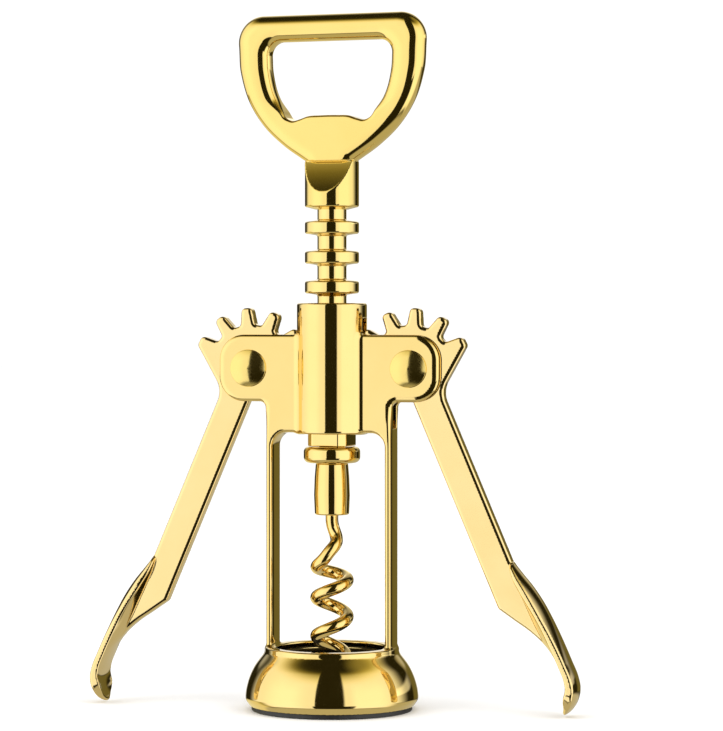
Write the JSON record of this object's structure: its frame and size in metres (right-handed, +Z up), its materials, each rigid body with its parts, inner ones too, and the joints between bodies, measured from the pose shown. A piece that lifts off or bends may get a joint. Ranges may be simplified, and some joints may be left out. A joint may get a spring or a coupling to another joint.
{
  "type": "lever corkscrew",
  "caption": "Lever corkscrew with toothed side levers, a grooved rack spindle, a wire worm, a bell that seats on a bottle neck, and a loop handle with a bottle-opener lip.",
  "frame": {"origin": "centre of the underside, where the bell stands on the table, on the worm's axis", "axes": "+Z up along the spindle, +X towards the right lever, -Y towards the front"},
  "size_m": [0.1254, 0.0434, 0.1739],
  "materials": {
    "gold_casting": "mirror-polished gold plate",
    "gold_turned": "mirror-polished gold plate",
    "gold_rivet": "mirror-polished gold plate",
    "gold_worm": "mirror-polished gold plate",
    "guard_plastic": "matte black",
    "pin_steel": "plain"
  },
  "bodies": {
    "frame": {"frame_casting": "gold_casting", "bottle_guard": "guard_plastic", "pivot_rivet_left": "gold_rivet", "pivot_rivet_right": "gold_rivet"},
    "lever_left": {"lever_left": "gold_casting"},
    "lever_right": {"lever_right": "gold_casting"},
    "carriage": {"stop_collar": "gold_turned"},
    "spindle": {"rack_spindle": "gold_turned", "handle": "gold_casting", "handle_pin": "pin_steel", "worm_chuck": "gold_turned", "worm": "gold_worm"}
  },
  "joints": [
    {"name": "rack_slide", "type": "slide", "parent": "frame", "child": "carriage", "axis": [0, 0, 1], "range_m": [-0.034, 0.0026]},
    {"name": "worm_spin", "type": "hinge", "parent": "carriage", "child": "spindle", "pos_m": [0, 0, 0.064], "axis": [0, 0, 1], "continuous": true},
    {"name": "lever_left_swing", "type": "hinge", "parent": "frame", "child": "lever_left", "pos_m": [-0.0205, 0, 0.0853], "axis": [0, 1, 0], "range_deg": [-10.2, 132]},
    {"name": "lever_right_swing", "type": "hinge", "parent": "frame", "child": "lever_right", "pos_m": [0.0205, 0, 0.0853], "axis": [0, -1, 0], "range_deg": [-10.2, 132]}
  ],
  "couplings": [
    {"joint": "lever_left_swing", "follows": "rack_slide", "rad_per_m": -67.659},
    {"joint": "lever_right_swing", "follows": "rack_slide", "rad_per_m": -67.659}
  ]
}
